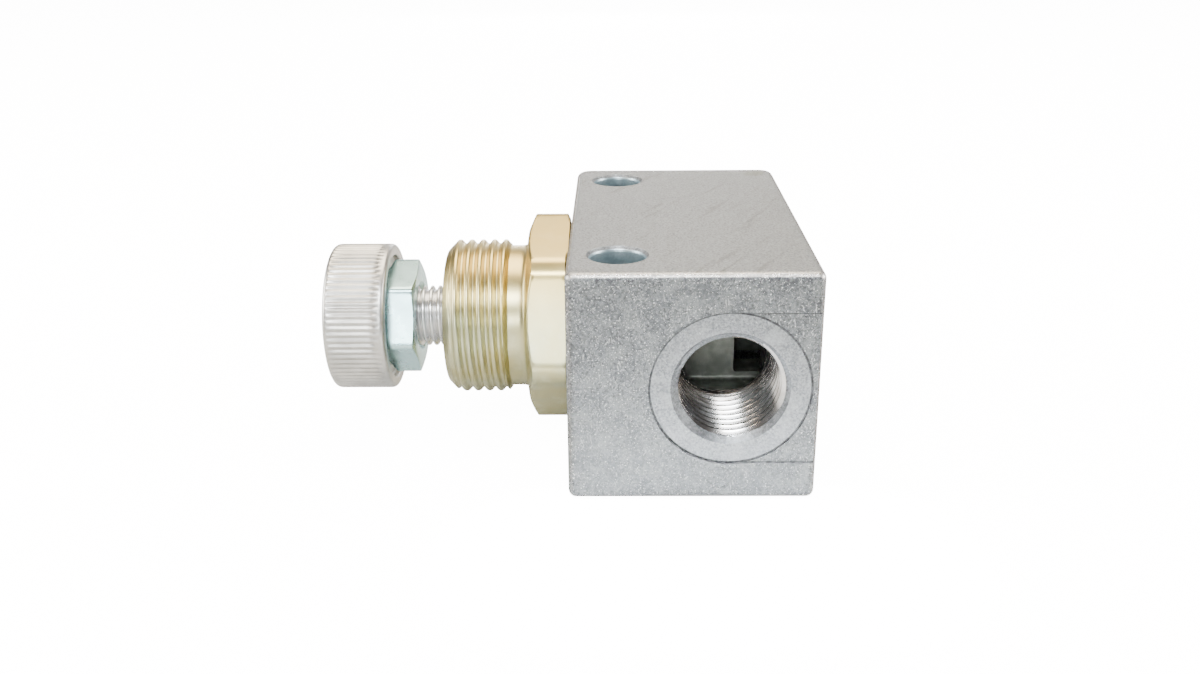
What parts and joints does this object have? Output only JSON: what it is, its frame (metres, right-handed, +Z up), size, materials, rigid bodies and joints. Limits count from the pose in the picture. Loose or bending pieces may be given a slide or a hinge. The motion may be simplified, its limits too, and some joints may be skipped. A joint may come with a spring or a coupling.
{
  "type": "flow control valve",
  "caption": "In-line one-way flow control valve: a cast block with opposed threaded ports and cross holes, a panel-mount threaded bonnet, a lock nut and a knurled adjusting knob.",
  "frame": {"origin": "centre of the body's bottom face, the face it is bolted down on", "axes": "+X along the stem, away from the knob; +Y from the front port to the rear port; +Z up, out of the top face, along the mounting holes"},
  "size_m": [0.0597, 0.05, 0.0275],
  "materials": {
    "cast_alloy": "as-cast light grey, fine mottled grain",
    "yellow_zinc": "turned, yellow-passivated zinc",
    "blue_zinc": "turned, blue-white zinc",
    "satin_metal": "satin, straight knurl",
    "spindle_steel": "turned and polished",
    "spring_steel": "drawn wire",
    "dark_steel": "black oxide",
    "brass": "turned",
    "seal_rubber": "matt",
    "ptfe": "smooth, waxy"
  },
  "bodies": {
    "valve_body": {"body": "cast_alloy", "bonnet": "yellow_zinc", "bonnet_oring": "seal_rubber", "throttle_sleeve": "brass", "sleeve_gasket": "ptfe", "spring_seat": "brass", "check_spring": "spring_steel"},
    "needle": {"throttle_needle": "spindle_steel"},
    "spindle_group": {"spindle": "spindle_steel", "spindle_oring": "seal_rubber", "backup_ring": "ptfe", "needle_pin": "spindle_steel", "thrust_ball": "spindle_steel", "knob": "satin_metal", "knob_grub_screw": "dark_steel"},
    "nut": {"lock_nut": "blue_zinc"},
    "check": {"check_ring": "brass", "check_seal": "seal_rubber"}
  },
  "joints": [
    {"name": "spindle_travel", "type": "slide", "parent": "valve_body", "child": "needle", "axis": [1, 0, 0], "range_m": [-0.005, 0]},
    {"name": "knob_turn", "type": "hinge", "parent": "needle", "child": "spindle_group", "pos_m": [-0.0415, 0, 0.01375], "axis": [1, 0, 0], "range_deg": [-1800, 0]},
    {"name": "lock_nut_run", "type": "slide", "parent": "spindle_group", "child": "nut", "axis": [1, 0, 0], "range_m": [0, 0.0036]},
    {"name": "check_lift", "type": "slide", "parent": "valve_body", "child": "check", "axis": [1, 0, 0], "range_m": [-0.0015, 0], "stiffness_N_per_m": 300, "springref_m": 0.001, "deforming": ["check_spring"]}
  ],
  "couplings": [
    {"joint": "knob_turn", "follows": "spindle_travel", "rad_per_m": 6283.2}
  ]
}
